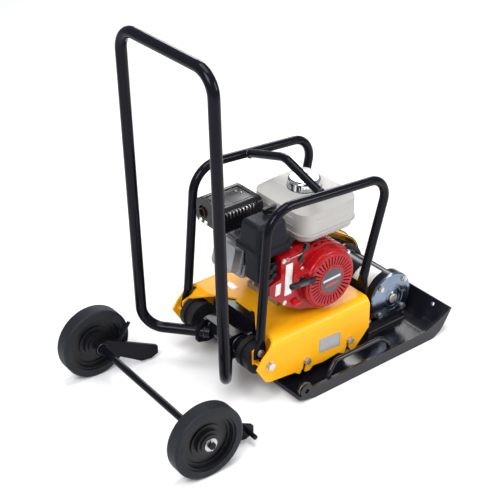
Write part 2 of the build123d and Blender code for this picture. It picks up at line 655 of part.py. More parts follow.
def make_starter_grip():
    """Cross grip with a stem that seats on the rope outlet."""
    bar = Pos(OUTLET_X - 10, -188.5, OUTLET_Z) * Rot(0, 95, 0) * Cylinder(8, 84)
    bar = fillet(bar.edges().filter_by(GeomType.CIRCLE), 5)
    return bar + rod_y(OUTLET_X, OUTLET_Z, -186, -176.3, 7)


def tank_section(inset, corner, z):
    """The tank's outline at one height, drawn in by inset."""
    width, depth = TANK_X1 - TANK_X0 - 2 * inset, TANK_Y1 - TANK_Y0 - 2 * inset
    return Pos((TANK_X0 + TANK_X1) / 2, (TANK_Y0 + TANK_Y1) / 2, z) * RectangleRounded(width, depth, corner)


def tank_body(wall):
    """Walls that stand a little further in below the seam, and a broad bevel up to the flat top."""
    low = extrude(tank_section(5 + wall, 34 - wall, TANK_BOTTOM + wall), 26)
    low = fillet(low.faces().sort_by(Axis.Z)[0].edges(), 14 - wall)
    high = extrude(tank_section(wall, 38 - wall, TANK_BOTTOM + 25 + wall), 62 - wall)
    shoulder = tank_section(wall, 38 - wall, TANK_BOTTOM + 87)
    bevel = loft([shoulder, tank_section(36 + wall, 24 - wall, TANK_TOP - wall)])
    return low + fillet((high + bevel).faces().sort_by(Axis.Z)[-1].edges(), 9 - wall)


def make_fuel_tank():
    tank = tank_body(0) + extrude(tank_section(-3, 41, TANK_BOTTOM + 25), 4)
    tank -= tank_body(2)
    tank += rod_z(CAP_X, CAP_Y, TANK_TOP - 4, TANK_TOP + 8, 24)
    tank += rod_y(TANK_X1 - 4, TANK_BOTTOM + 52, -92, -76, 9) - tank_body(0)
    return tank - rod_z(CAP_X, CAP_Y, TANK_TOP - 20, TANK_TOP + 20, 20)


def make_fuel_cap():
    """Wide pressed cap with a domed top and a ribbed skirt."""
    cap = rod_z(CAP_X, CAP_Y, TANK_TOP + 0.3, TANK_TOP + 27, CAP_RADIUS)
    cap = fillet(cap.edges().filter_by(GeomType.CIRCLE).sort_by(Axis.Z)[-1], 9)
    cap -= rod_z(CAP_X, CAP_Y, TANK_TOP - 5, TANK_TOP + 8.3, 24.5)
    for dx, dy in around(32, CAP_RADIUS + 1, 0):
        cap -= rod_z(CAP_X + dx, CAP_Y + dy, TANK_TOP - 5, TANK_TOP + 16, 2)
    return cap


def make_air_cleaner_base():
    """Pan under the cover, with a deep box at its rear that turns in to the carburettor."""
    base = block(-324, -214, -132, -78, CLEANER_SEAM - 22, CLEANER_SEAM - 8)
    base += block(-324, -282, -132, -90, 335, CLEANER_SEAM - 8) + block(-324, -240, -98, -78, 335, CLEANER_SEAM - 8)
    base = fillet(base.edges().filter_by(Axis.Z), 6)
    shelf = block(-328, -208, -134, -34, CLEANER_SEAM - 10, CLEANER_SEAM)
    shelf = fillet(shelf.edges().filter_by(Axis.Z), 18)
    elbow = block(-286, -246, -80, -76, 340, 376)
    base = base + shelf + elbow
    base -= block(-320, -286, -128, -94, 340, CLEANER_SEAM - 12)
    return base + rod_z(-238, -72, CLEANER_SEAM - 2, CLEANER_SEAM + 72, 3)


def make_air_filter():
    ring = block(-304, -228, -117, -82, CLEANER_SEAM, CLEANER_SEAM + 42)
    ring = fillet(ring.edges().filter_by(Axis.Z), 16)
    return ring - block(-290, -242, -108, -92, CLEANER_SEAM - 5, CLEANER_SEAM + 60)


def cleaner_shell(wall):
    """The cover's tapered body, drawn in by wall."""
    outline = Pos(-268, -85, CLEANER_SEAM + 0.3 - wall) * RectangleRounded(108 - 2 * wall, 92 - 2 * wall, 20 - wall)
    shell = extrude(outline, 67.7, taper=8)
    return fillet(shell.faces().sort_by(Axis.Z)[-1].edges(), 14 - wall)


def make_air_cleaner_cover():
    cover = cleaner_shell(0) - cleaner_shell(3)
    return cover - rod_z(-238, -72, CLEANER_SEAM + 50, CLEANER_SEAM + 80, 3.5)


def make_wing_nut():
    nut = rod_z(-238, -72, CLEANER_SEAM + 68.3, CLEANER_SEAM + 79, 13)
    nut += block(-259, -217, -76, -68, CLEANER_SEAM + 72, CLEANER_SEAM + 84)
    nut = fillet(nut.edges().filter_by(Axis.Z), 2)
    return nut - rod_z(-238, -72, CLEANER_SEAM + 50, CLEANER_SEAM + 74, 3 + FIT)


def make_carburettor():
    body = block(-284, -248, -74, -32, 338, 376)
    body = fillet(body.edges().filter_by(Axis.Z), 6)
    bowl = rod_z(-266, -54, 306, 338, 18)
    flange = block(-290, -242, -34, -30, 330, 384)
    flange2 = block(-290, -242, -76, -72, 334, 382)
    return body + bowl + flange + flange2


def make_muffler():
    body = block(-318, -208, 10, 110, 419, 476)
    body = fillet(body.edges().filter_by(Axis.X), 16)
    pipe = rod_z(-236, 60, 366, 425, 14)
    outlet = rod_x(EXHAUST_Y, EXHAUST_Z, -333, -310, 13) - rod_x(EXHAUST_Y, EXHAUST_Z, -340, -314, 10.5)
    return body + pipe + outlet


def make_muffler_guard():
    """Pressed heat shield: a recessed top, louvres along its upper edges and a round hole at the outlet."""
    shell = block(-328, -199, 2, 120, 411, 486)
    shell = fillet(shell.edges().filter_by(Axis.X), 18)
    shell -= fillet(block(-326, -201, 4, 118, 409, 484).edges().filter_by(Axis.X), 16)
    shell -= block(-340, -190, -5, 130, 400, 416)
    shell -= block(-318, -209, 24, 98, 484.9, 490)
    for i in range(10):
        x = -318 + 10.8 * i
        shell -= block(x, x + 5.5, -5, 13, 461, 481)
        shell -= block(x, x + 5.5, 109, 130, 461, 481)
    for i in range(6):
        y = 24 + 13 * i
        shell -= block(-206, -190, y, y + 6, 430, 466)
    return shell - rod_x(EXHAUST_Y, EXHAUST_Z, -340, -320, 19)


def plug_rod(start, end, radius):
    """A cylinder on the spark plug's axis, from start to end above the bore's axis."""
    middle = Pos(-44, -(start + end) / 2, 160)
    return bore_plane() * middle * Rot(90, 0, 0) * Cylinder(radius, end - start)


def make_spark_plug():
    return plug_rod(30, 56, 7) + plug_rod(56, 62, 4)


def make_engine_bolts():
    """Foot bolts, the starter housing's screws and the oil drain plug."""
    bolts = []
    for x in (CRANK_X - 79, CRANK_X + 86):
        for y in (-36, 46):
            bolts.append(hex_bolt((x, y, DECK_TOP + 16), (0, 0, 1), 24, 4, 5))
    for dx, dz in around(3, 90, 30):
        bolts.append(hex_bolt((CRANK_X + dx, -153, CRANK_Z + dz), (0, -1, 0), 8, 3, 5))
    bolts.append(hex_bolt((CRANK_X + 92, -20, DECK_TOP + 8), (1, 0, 0), 14, 4, 5.5))
    return solids_group(*bolts)


def make_fuel_hose():
    """Short hose from the tank's outlet down to the carburettor bowl."""
    route = [(-140, -20, TANK_BOTTOM), (-140, -20, 372), (-182, -56, 350), (-222, -54, 328), (-246, -54, 322)]
    return bent_tube(route, [6, 14, 14], 3.5, 0)


def make_plug_lead():
    """Ignition lead with its cap, from the coil under the shroud to the plug."""
    route = [(-249, -16, 405), (-226, -18, 404), (-192, -40, 386), (-180, -104, 350)]
    lead = bent_tube(route, [10, 16], 3, 0) - rod_y(CRANK_X, CRANK_Z, -150, -74, 94)
    return lead + plug_rod(56, 80, 9) - plug_rod(50, 62, 7)


def make_control_plate():
    """Plate on the air cleaner's box that carries the choke and fuel levers."""
    plate = plate_xz([(-300, 335), (-265, 335), (-265, 382), (-300, 382)], -136, -132, 6)
    plate -= rod_y(*CHOKE_PIN, -140, -110, 3 + FIT)
    return plate - rod_y(*FUEL_PIN, -140, -110, 3 + FIT)


def make_lever(pin, y, length, angle):
    """Flat lever on a pin along Y, with a finger tab at its end."""
    x, z = pin
    turn = Pos(x, y, z) * Rot(0, angle, 0)
    arm = block(0, length, -3.5, 0, -3.5, 3.5)
    tab = fillet(block(length - 4, length + 12, -11, 0, -6, 6).edges().filter_by(Axis.Y), 4)
    boss = rod_y(0, 0, -5, 0, 8)
    return turn * (arm + tab + boss + rod_y(0, 0, -1, 4, 3))


def make_engine_switch():
    """Turning on and off knob with a raised bar."""
    x, z = SWITCH_PIN
    knob = rod_y(x, z, -156, -150.3, 10) + block(x - 9, x + 9, -164, -155, z - 3, z + 3)
    return knob + rod_y(x, z, -151, -144, 3)


def filler_plane():
    """Oil filler's mouth on the front of the crankcase; its normal is the neck's axis."""
    return Plane(origin=(CRANK_X + 91, 6, DECK_TOP + 42), z_dir=(0.77, 0, 0.64))


def make_oil_dipstick():
    stick = filler_plane() * Pos(0, 0, -16) * Cylinder(3, 36)
    cap = filler_plane() * Pos(0, 0, 5.3) * Cylinder(13, 10)
    wings = filler_plane() * Pos(0, 0, 12) * Box(22, 5, 8)
    return stick + cap + wings


# ---------------------------------------------------------------- trolley
def on_trolley(shape):
    """Moves a piece from the trolley's own frame to where the trolley stands."""
    return Pos(TROLLEY_X, TROLLEY_Y, 0) * Rot(0, 0, TROLLEY_YAW) * shape


def make_trolley_frame():
    """Axle with two welded hook plates."""
    half = TRACK / 2
    frame = rod_y(0, WHEEL_RADIUS, -half - 32, half + 32, AXLE_RADIUS)
    for side in (-1, 1):
        y = side * (half - 42)
        plate = plate_xz([(-16, 84), (-16, 118), (20, 118), (150, 52), (174, 40), (174, 14), (150, 6), (120, 10),
                          (20, 74)], y - 4, y + 4, 6)
        frame += plate
        frame += rod_y(158, 26, *sorted((y, y + side * 34)), 6.5)
        frame += rod_y(0, WHEEL_RADIUS, y - 18, y + 18, 14)
        shoulder = sorted((side * (half - 27), side * (half - 23)))
        frame += rod_y(0, WHEEL_RADIUS, *shoulder, 14)
    return frame


def make_wheel(side):
    """Black disc wheel with a stepped web and a long hub."""
    y = side * TRACK / 2
    half = WHEEL_WIDTH / 2
    wheel = rod_y(0, WHEEL_RADIUS, y - half + 5, y + half - 5, 81)
    for face in (-1, 1):
        recess = sorted((y + face * (half - 15), y + face * (half + 5)))
        wheel -= ring_y(0, WHEEL_RADIUS, *recess, 72, 34)
        step = sorted((y + face * (half - 19), y + face * (half + 5)))
        wheel -= ring_y(0, WHEEL_RADIUS, *step, 62, 46)
    wheel += rod_y(0, WHEEL_RADIUS, y - half, y + half, 26)
    return wheel - rod_y(0, WHEEL_RADIUS, y - 40, y + 40, AXLE_RADIUS + FIT)


def make_tyre(side):
    """Solid rubber ring pressed on the wheel."""
    y = side * TRACK / 2
    half = WHEEL_WIDTH / 2
    tyre = rod_y(0, WHEEL_RADIUS, y - half, y + half, WHEEL_RADIUS)
    tyre = fillet(tyre.edges().filter_by(GeomType.CIRCLE), 7)
    tyre -= rod_y(0, WHEEL_RADIUS, y - 30, y + 30, 78)
    return tyre - rod_y(0, WHEEL_RADIUS, y - half + 5, y + half - 5, 81)


def make_axle_retainers():
    """Washer and cross pin outside each wheel."""
    pieces = []
    for side in (-1, 1):
        y = side * (TRACK / 2 + WHEEL_WIDTH / 2)
        washer = sorted((y + side * 0.5, y + side * 3))
        pieces.append(ring_y(0, WHEEL_RADIUS, *washer, 18, AXLE_RADIUS))
        pieces.append(rod_z(0, y + side * 6, WHEEL_RADIUS - 15, WHEEL_RADIUS + 15, 2))
    return solids_group(*pieces)


def make_trolley_latch():
    """Spring-loaded lever on the left hook plate that locks the trolley to the machine."""
    y = TRACK / 2 - 42
    lever = rod_between((60, y + 12, 88), (96, y + 12, 140), 5)
    return lever + rod_y(60, 88, y + 4.3, y + 17, 8)


# ---------------------------------------------------------------- all nodes
def build():
    nodes = {}
    nodes["base_plate"] = make_base_plate()
    nodes["lifting_grips"] = both_sides(make_lifting_grip())
    nodes["exciter_housing"] = make_exciter_housing()
    nodes["exciter_covers"] = solids_group(make_right_cover(), make_left_cover())
    nodes["exciter_plug"] = make_exciter_plug()
    nodes["exciter_bolts"] = make_exciter_bolts()
    nodes["exciter_bearings"] = make_exciter_bearings()
    nodes["eccentric_shaft"] = make_eccentric_shaft()
    nodes["exciter_pulley"] = make_exciter_pulley()
    nodes["v_belt"] = make_v_belt()
    nodes["clutch_drum"] = make_clutch_drum()
    nodes["clutch_hub"] = make_clutch_hub()
    nodes["belt_guard"] = make_belt_guard()
    nodes["deck"] = make_deck()
    nodes["isolators"] = make_isolators()
    nodes["isolator_bolts"] = make_isolator_bolts()
    nodes["handle_frame"] = make_handle_frame()
    nodes["handle_pivot_bolt"] = make_pivot_bolt()
    nodes["handle_buffers"] = make_pivot_buffers()
    nodes["handle_bracket"] = make_handle_bracket()
    nodes["handle_stops"] = make_handle_stops()
    hoop = make_hoop()
    nodes["hoop_right"] = hoop
    nodes["hoop_left"] = mirror_y(hoop)
    nodes["lifting_bar"] = make_lifting_bar()
    nodes["frame_bolts"] = make_frame_bolts()
    nodes["crankcase"] = make_crankcase()
    nodes["cylinder"] = make_cylinder()
    nodes["rocker_cover"] = make_rocker_cover()
    nodes["crankshaft"] = make_crankshaft()
    nodes["flywheel"] = make_flywheel()
    nodes["fan_cover"] = make_fan_cover()
    nodes["recoil_cover"] = make_recoil_cover()
    nodes["starter_grip"] = make_starter_grip()
    nodes["fuel_tank"] = make_fuel_tank()
    nodes["fuel_cap"] = make_fuel_cap()
    nodes["air_cleaner_base"] = make_air_cleaner_base()
    nodes["air_filter"] = make_air_filter()
    nodes["air_cleaner_cover"] = make_air_cleaner_cover()
    nodes["wing_nut"] = make_wing_nut()
    nodes["carburettor"] = make_carburettor()
    nodes["muffler"] = make_muffler()
    nodes["muffler_guard"] = make_muffler_guard()
    nodes["spark_plug"] = make_spark_plug()
    nodes["engine_bolts"] = make_engine_bolts()
    nodes["fuel_hose"] = make_fuel_hose()
    nodes["plug_lead"] = make_plug_lead()
    nodes["control_plate"] = make_control_plate()
    nodes["choke_lever"] = make_lever(CHOKE_PIN, -136.3, 15, 165)
    nodes["fuel_lever"] = make_lever(FUEL_PIN, -136.3, 15, 160)
    nodes["throttle_lever"] = make_lever(THROTTLE_PIN, -150.3, 34, -70)
    nodes["engine_switch"] = make_engine_switch()
    nodes["oil_dipstick"] = make_oil_dipstick()
    nodes["trolley_frame"] = on_trolley(make_trolley_frame())
    nodes["axle_retainers"] = on_trolley(make_axle_retainers())
    nodes["trolley_latch"] = on_trolley(make_trolley_latch())
    for name, side in (("left", 1), ("right", -1)):
        nodes[f"wheel_{name}"] = on_trolley(make_wheel(side))
        nodes[f"tyre_{name}"] = on_trolley(make_tyre(side))
    cut_fits(nodes)
    return nodes


# What each bolt, pin or welded piece passes through: the first node is cut by the others.
FITS = (
    ("lifting_grips", "base_plate"),
    ("base_plate", "exciter_bolts", "isolator_bolts"),
    ("exciter_housing", "exciter_bolts", "exciter_plug", "base_plate", "exciter_bearings"),
    ("exciter_covers", "exciter_bolts"),
    ("deck", "isolator_bolts", "handle_pivot_bolt", "handle_buffers", "frame_bolts", "engine_bolts"),
    ("isolators", "isolator_bolts"),
    ("hoop_right", "frame_bolts", "deck"),
    ("hoop_left", "frame_bolts", "deck"),
    ("handle_bracket", "deck"),
    ("crankcase", "engine_bolts"),
    ("trolley_frame", "axle_retainers"),
    ("muffler", "cylinder"),
    ("muffler_guard", "muffler"),
    ("cylinder", "crankcase"),
    ("recoil_cover", "engine_bolts"),
    ("fan_cover", "engine_bolts", "crankcase"),
    ("plug_lead", "spark_plug"),
    ("carburettor", "cylinder", "rocker_cover"),
    ("spark_plug", "cylinder", "rocker_cover"),
)


def cut_fits(nodes):
    for name, *tools in FITS:
        nodes[name] = minus(nodes[name], *[nodes[tool] for tool in tools])


for node, shape in build().items():
    save(node, shape)
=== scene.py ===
import json
import math

import bmesh
import bpy
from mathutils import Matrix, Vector


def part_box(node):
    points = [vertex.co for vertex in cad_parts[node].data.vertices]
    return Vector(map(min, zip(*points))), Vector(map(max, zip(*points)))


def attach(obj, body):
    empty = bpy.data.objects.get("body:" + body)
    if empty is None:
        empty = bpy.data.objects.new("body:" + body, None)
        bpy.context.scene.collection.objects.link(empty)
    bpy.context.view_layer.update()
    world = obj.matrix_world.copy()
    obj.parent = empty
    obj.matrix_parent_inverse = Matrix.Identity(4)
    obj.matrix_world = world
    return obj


# Looks of a vibrating plate compactor with a tilting handle, a petrol engine and a detached trolley.
# Metres, in the frame's own axes: +X is the travel direction, +Y the machine's left, +Z up.
# Places given to mm() are in millimetres.

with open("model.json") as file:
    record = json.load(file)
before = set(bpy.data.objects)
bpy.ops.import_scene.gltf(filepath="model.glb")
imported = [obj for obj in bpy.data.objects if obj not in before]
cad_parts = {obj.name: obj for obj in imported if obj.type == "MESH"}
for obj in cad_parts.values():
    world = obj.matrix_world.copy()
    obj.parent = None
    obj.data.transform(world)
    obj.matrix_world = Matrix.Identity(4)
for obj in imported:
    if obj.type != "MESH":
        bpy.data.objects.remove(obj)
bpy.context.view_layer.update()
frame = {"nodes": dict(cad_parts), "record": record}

FORWARD, REAR = Vector((1, 0, 0)), Vector((-1, 0, 0))
LEFT, RIGHT = Vector((0, 1, 0)), Vector((0, -1, 0))
UP, DOWN = Vector((0, 0, 1)), Vector((0, 0, -1))

# ---- places that the CAD part is built around, in metres ----
EXCITER = Vector((0.150, 0.0, 0.111))
EXCITER_TUBE_RADIUS = 0.056
CRANK = Vector((-0.115, 0.0, 0.289))
RECOIL_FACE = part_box("recoil_cover")[0].y
VENT_RING_RADIUS = 0.0888
AXLE_AT = Vector((-0.622, -0.050, 0.100))
AXLE_WAY = Vector((0.0349, 0.9994, 0.0))
WHEEL_TRACK = 0.523
HOOK_PLATE_INSET = 0.042

# ---- and in millimetres ----
SHROUD_FACE = -150
DECK_TOP = 183
DECK_RIGHT = -187
TANK_RIGHT, TANK_FRONT, TANK_REAR = -132, 22, -172
CAP_X, CAP_Y = -90, -34
CARB_X, CARB_Y = -266, -54
THROTTLE_ROD_Y = -153
GRIP_X, GRIP_Z = -222, 325
MUFFLER_END = -318

GRIP_ANGLE = math.radians(95)  # of the grip's length, from up towards forward
CREASE = 32  # degrees; a sharper edge is shaded as an edge
WELD_PITCH = 0.0028
LABEL_THICKNESS = 0.0005
LABEL_MARGIN = 0.0025
PRINTED_LINE = 0.00035


# ---------------------------------------------------------------- shader helpers
class Shader:
    """A Principled material whose colour, roughness and bump come from textures in object coordinates."""

    def __init__(self, name):
        self.material = bpy.data.materials.new(name)
        self.material.use_nodes = True
        self.tree = self.material.node_tree
        self.out = self.tree.nodes["Principled BSDF"]
        self.height = None

    def node(self, kind, **values):
        """A new node; a value goes to the socket of that name, or else to the node's own setting."""
        made = self.tree.nodes.new(kind)
        for key, value in values.items():
            if key in made.inputs:
                made.inputs[key].default_value = value
            else:
                setattr(made, key, value)
        return made

    def link(self, source, target):
        self.tree.links.new(source, target)

    def place(self, stretch=(1, 1, 1), at=(0, 0, 0)):
        """Object coordinates, measured from a point and stretched."""
        coords = self.node("ShaderNodeTexCoord")
        mapping = self.node("ShaderNodeMapping", Scale=stretch)
        mapping.inputs["Location"].default_value = [-a * s for a, s in zip(at, stretch)]
        self.link(coords.outputs["Object"], mapping.inputs["Vector"])
        return mapping.outputs["Vector"]

    def noise(self, scale, detail, stretch=(1, 1, 1)):
        """Cloudy pattern with values about 0.3 to 0.7."""
        tex = self.node("ShaderNodeTexNoise", Scale=scale, Detail=detail)
        self.link(self.place(stretch), tex.inputs["Vector"])
        return tex.outputs["Fac"]

    def rings(self, centre, pitch):
        """Turned rings about an axis through centre along Y."""
        tex = self.node("ShaderNodeTexWave", Scale=math.pi / (10 * pitch), Distortion=0.0)
        tex.wave_type = "RINGS"
        tex.rings_direction = "Y"
        self.link(self.place(at=centre), tex.inputs["Vector"])
        return tex.outputs["Fac"]

    def ramp(self, fac, *stops):
        """A ramp with (position, colour) stops."""
        made = self.node("ShaderNodeValToRGB")
        band = made.color_ramp
        while len(band.elements) < len(stops):
            band.elements.new(0.5)
        for element, (position, colour) in zip(band.elements, stops):
            element.position = position
            element.color = (*colour, 1)
        self.link(fac, made.inputs["Fac"])
        return made.outputs["Color"]

    def spread(self, fac, low, high):
        """Maps a texture's middle range to low..high."""
        made = self.node("ShaderNodeMapRange")
        for key, value in (("From Min", 0.3), ("From Max", 0.7), ("To Min", low), ("To Max", high)):
            made.inputs[key].default_value = value
        self.link(fac, made.inputs["Value"])
        return made.outputs["Result"]

    def colour(self, fac, *stops):
        """Base colour from a texture, through (position, colour) stops."""
        self.link(self.ramp(fac, *stops), self.out.inputs["Base Color"])
        return self

    def shades(self, colour, change, scale):
        """Base colour that drifts a little darker and lighter across the surface."""
        darker = [c * (1 - change) for c in colour]
        lighter = [min(1.0, c * (1 + change)) for c in colour]
        return self.colour(self.noise(scale, 4.0), (0.3, darker), (0.7, lighter))

    def painted_edge_highlights(self, colour, width):
        """Painted highlight: lightens convex edges towards a colour."""
        round_off = self.node("ShaderNodeBevel", Radius=width)
        round_off.samples = 4
        flat = self.node("ShaderNodeNewGeometry")
        compare = self.node("ShaderNodeVectorMath", operation="DOT_PRODUCT")
        self.link(round_off.outputs["Normal"], compare.inputs[0])
        self.link(flat.outputs["Normal"], compare.inputs[1])
        mask = self.ramp(compare.outputs["Value"], (0.80, (1, 1, 1)), (0.985, (0, 0, 0)))
        mix = self.node("ShaderNodeMix", data_type="RGBA")
        self.link(mask, mix.inputs["Factor"])
        self.link(self.out.inputs["Base Color"].links[0].from_socket, mix.inputs["A"])
        mix.inputs["B"].default_value = (*colour, 1)
        self.link(mix.outputs["Result"], self.out.inputs["Base Color"])
        return self

    def gloss(self, low, high, scale=14.0):
        """Roughness that drifts between low and high."""
        self.link(self.spread(self.noise(scale, 5.0), low, high), self.out.inputs["Roughness"])
        return self

    def bump(self, height, depth):
        """Adds a bump of the given depth, in metres, on top of any bump there is."""
        made = self.node("ShaderNodeBump", Distance=depth)
        self.link(height, made.inputs["Height"])
        if self.height is not None:
            self.link(self.height, made.inputs["Normal"])
        self.height = made.outputs["Normal"]
        self.link(self.height, self.out.inputs["Normal"])
        return self

    def fixed(self, **values):
        """Values that are the same all over, such as metallic or the specular level."""
        for key, value in values.items():
            self.out.inputs[key.replace("_", " ").title().replace("Ior", "IOR")].default_value = value
        return self


def powder_paint(name, colour, change, gloss, shine, edge=None):
    """Powder coat or enamel on steel, with slight orange peel; edge is the colour of the painted highlight
    along its convex edges.
    """
    made = Shader(name).shades(colour, change, 7.0)
    made.gloss(*gloss)
    made.bump(made.noise(420.0, 2.0), 0.00005)
    made.bump(made.noise(60.0, 2.0), 0.00012)
    made.fixed(specular_ior_level=shine)
    if edge:
        made.painted_edge_highlights(edge, 0.0012)
    return made.material


def moulded_plastic(name, colour, gloss=(0.42, 0.55), shine=0.25):
    """Fine-textured moulding."""
    made = Shader(name).shades(colour, 0.10, 11.0)
    made.fixed(specular_ior_level=shine)
    made.gloss(*gloss, scale=30.0)
    made.bump(made.noise(1300.0, 2.0), 0.00006)
    return made.material


def plated_steel(name, colour, tint, gloss=(0.22, 0.38)):
    """Zinc or bare steel: metal whose tint and polish drift, with fine scratches."""
    made = Shader(name)
    made.colour(made.noise(38.0, 5.0), (0.35, colour), (0.68, tint))
    made.gloss(*gloss, scale=70.0)
    made.bump(made.noise(900.0, 2.0, (1, 1, 0.06)), 0.00004)
    made.fixed(metallic=1.0)
    return made.material


def cast_metal(name, colour, gloss=(0.42, 0.6), metallic=0.9):
    """Sand or die casting with a grainy skin."""
    made = Shader(name).shades(colour, 0.16, 26.0)
    made.gloss(*gloss, scale=50.0)
    made.bump(made.noise(620.0, 4.0), 0.00035)
    made.bump(made.noise(90.0, 3.0), 0.000525)
    made.fixed(metallic=metallic)
    return made.material


def turned_metal(name, colour, centre):
    """Face that looks along Y, with fine tool marks round its centre."""
    made = Shader(name).shades(colour, 0.08, 20.0)
    made.gloss(0.16, 0.20, scale=12.0)
    made.bump(made.rings(centre, 0.0016), 0.00001)
    made.fixed(metallic=1.0)
    return made.material


def black_rubber(name, colour, centre=None):
    """Rubber with a dusty bloom and, on wheels, faint moulding rings."""
    made = Shader(name).shades(colour, 0.22, 16.0)
    made.fixed(specular_ior_level=0.25)
    made.gloss(0.5, 0.68, scale=24.0)
    made.bump(made.noise(1100.0, 3.0), 0.00008)
    if centre is not None:
        made.bump(made.rings(centre, 0.0035), 0.00012)
    return made.material


def heated_steel(name):
    """Aluminised muffler shell, browned by heat towards its outlet end."""
    made = Shader(name)
    along = made.node("ShaderNodeSeparateXYZ")
    made.link(made.place(at=(MUFFLER_END / 1000, 0, 0)), along.inputs["Vector"])
    patchy = made.node("ShaderNodeMath", operation="MULTIPLY_ADD")
    made.link(made.noise(60.0, 4.0), patchy.inputs[0])
    patchy.inputs[1].default_value = 0.02
    made.link(along.outputs["X"], patchy.inputs[2])
    made.colour(patchy.outputs["Value"], (0.0, (0.07, 0.035, 0.025)), (0.012, (0.16, 0.09, 0.07)),
                (0.03, (0.62, 0.60, 0.57)))
    made.gloss(0.30, 0.50, scale=40.0)
    made.bump(made.noise(500.0, 4.0), 0.00012)
    made.fixed(metallic=0.9)
    return made.material


def foam(name):
    """Open-cell filter foam."""
    made = Shader(name).shades((0.30, 0.28, 0.22), 0.25, 60.0)
    made.gloss(0.85, 0.95)
    cells = made.node("ShaderNodeTexVoronoi", Scale=700.0)
    made.link(made.place(), cells.inputs["Vector"])
    made.bump(cells.outputs["Distance"], 0.0008)
    return made.material


def printed_vinyl(name, colour, gloss=(0.3, 0.42), metallic=0.0):
    """Smooth sticker, faintly rippled."""
    made = Shader(name).shades(colour, 0.03, 30.0)
    made.gloss(*gloss, scale=60.0)
    made.bump(made.noise(120.0, 2.0), 0.00006)
    made.fixed(metallic=metallic, coat_weight=0.3)
    return made.material


def weld_skin(name, colour):
    """Painted weld bead."""
    made = Shader(name).shades(colour, 0.2, 90.0)
    made.gloss(0.28, 0.42, scale=90.0)
    made.bump(made.noise(800.0, 3.0), 0.00018)
    made.fixed(coat_weight=0.3)
    return made.material


def floor_paint(name):
    """Plain white studio floor."""
    made = Shader(name).shades((0.90, 0.90, 0.905), 0.01, 1.2)
    made.gloss(0.55, 0.65, scale=3.0)
    made.bump(made.noise(300.0, 2.0), 0.00003)
    return made.material


# Each edge colour given below is a painted highlight along convex edges.
materials = {
    "yellow_paint": powder_paint("yellow_paint", (0.90, 0.405, 0.006), 0.03, (0.30, 0.42), 0.22,
                                 edge=(0.96, 0.52, 0.04)),
    "black_paint": powder_paint("black_paint", (0.0055, 0.0055, 0.009), 0.15, (0.13, 0.22), 0.24,
                                edge=(0.03, 0.03, 0.038)),
    "black_engine": powder_paint("black_engine", (0.006, 0.006, 0.009), 0.2, (0.20, 0.34), 0.3,
                                 edge=(0.035, 0.035, 0.04)),
    "red_paint": powder_paint("red_paint", (0.32, 0.002, 0.005), 0.05, (0.16, 0.26), 0.28,
                              edge=(0.55, 0.04, 0.05)),
    "cream_tank": powder_paint("cream_tank", (0.45, 0.44, 0.42), 0.02, (0.40, 0.50), 0.08),
    "grey_casting": cast_metal("grey_casting", (0.40, 0.41, 0.43)),
    "cast_iron": cast_metal("cast_iron", (0.12, 0.12, 0.12), (0.4, 0.55), 0.8),
    "zinc_steel": plated_steel("zinc_steel", (0.55, 0.57, 0.60), (0.70, 0.68, 0.60)),
    "turned_steel": plated_steel("turned_steel", (0.42, 0.42, 0.42), (0.56, 0.55, 0.54), (0.25, 0.4)),
    "chrome": plated_steel("chrome", (0.60, 0.62, 0.66), (0.68, 0.69, 0.71), (0.06, 0.14)),
    "heated_steel": heated_steel("heated_steel"),
    "dark_plastic": moulded_plastic("dark_plastic", (0.009, 0.010, 0.015), shine=0.14),
    "black_plastic": moulded_plastic("black_plastic", (0.007, 0.007, 0.009), (0.30, 0.44)),
    "red_plastic": moulded_plastic("red_plastic", (0.52, 0.012, 0.012), (0.25, 0.4)),
    "rubber": black_rubber("rubber", (0.011, 0.011, 0.012)),
    "tyre": black_rubber("tyre", (0.009, 0.011, 0.015), AXLE_AT),
    "filter_foam": foam("filter_foam"),
}
white_label = printed_vinyl("white_label", (0.78, 0.78, 0.77), (0.25, 0.4))
red_label = printed_vinyl("red_label", (0.45, 0.010, 0.012), (0.25, 0.4))
silver_label = printed_vinyl("silver_label", (0.55, 0.56, 0.58), metallic=0.6)
grey_label = printed_vinyl("grey_label", (0.030, 0.034, 0.045))
black_weld = weld_skin("black_weld", (0.010, 0.010, 0.014))
plate_weld = weld_skin("plate_weld", (0.06, 0.06, 0.065))
# The edge colours here are painted highlights along convex edges.
tube_paint = powder_paint("tube_paint", (0.0045, 0.0045, 0.008), 0.15, (0.09, 0.15), 0.11,
                          edge=(0.02, 0.02, 0.026))
plate_paint = powder_paint("plate_paint", (0.0055, 0.0055, 0.009), 0.15, (0.13, 0.24), 0.34,
                           edge=(0.04, 0.04, 0.048))

# CAD nodes that don't take the plain material of their slot.
own_material = {
    "exciter_covers": turned_metal("exciter_face", (0.18, 0.225, 0.29), EXCITER),
    "handle_pivot_bolt": materials["zinc_steel"],
    "throttle_lever": materials["black_engine"],
}
for node in ("handle_frame", "hoop_right", "hoop_left", "lifting_bar", "trolley_frame"):
    own_material[node] = tube_paint
for node in ("base_plate", "lifting_grips"):
    own_material[node] = plate_paint

slot_of = {row["node"]: row["material_slot"] for row in frame["record"]["subparts"]}
for node, obj in frame["nodes"].items():
    obj.data.materials.clear()
    obj.data.materials.append(own_material.get(node, materials[slot_of[node]]))
    obj.data.shade_smooth()
    obj.data.set_sharp_from_angle(angle=math.radians(CREASE))


# ---------------------------------------------------------------- mesh helpers
def piece(name, bm, slot, body="chassis", face=None, crease=CREASE):
    """Turns a bmesh into a named piece that rides on a body; face stands in for the slot's own material."""
    bmesh.ops.recalc_face_normals(bm, faces=bm.faces)
    mesh = bpy.data.meshes.new(name)
    bm.to_mesh(mesh)
    bm.free()
    mesh.materials.append(face or materials[slot])
    mesh.shade_smooth()
    mesh.set_sharp_from_angle(angle=math.radians(crease))
    made = bpy.data.objects.new(name, mesh)
    bpy.context.scene.collection.objects.link(made)
    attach(made, body)


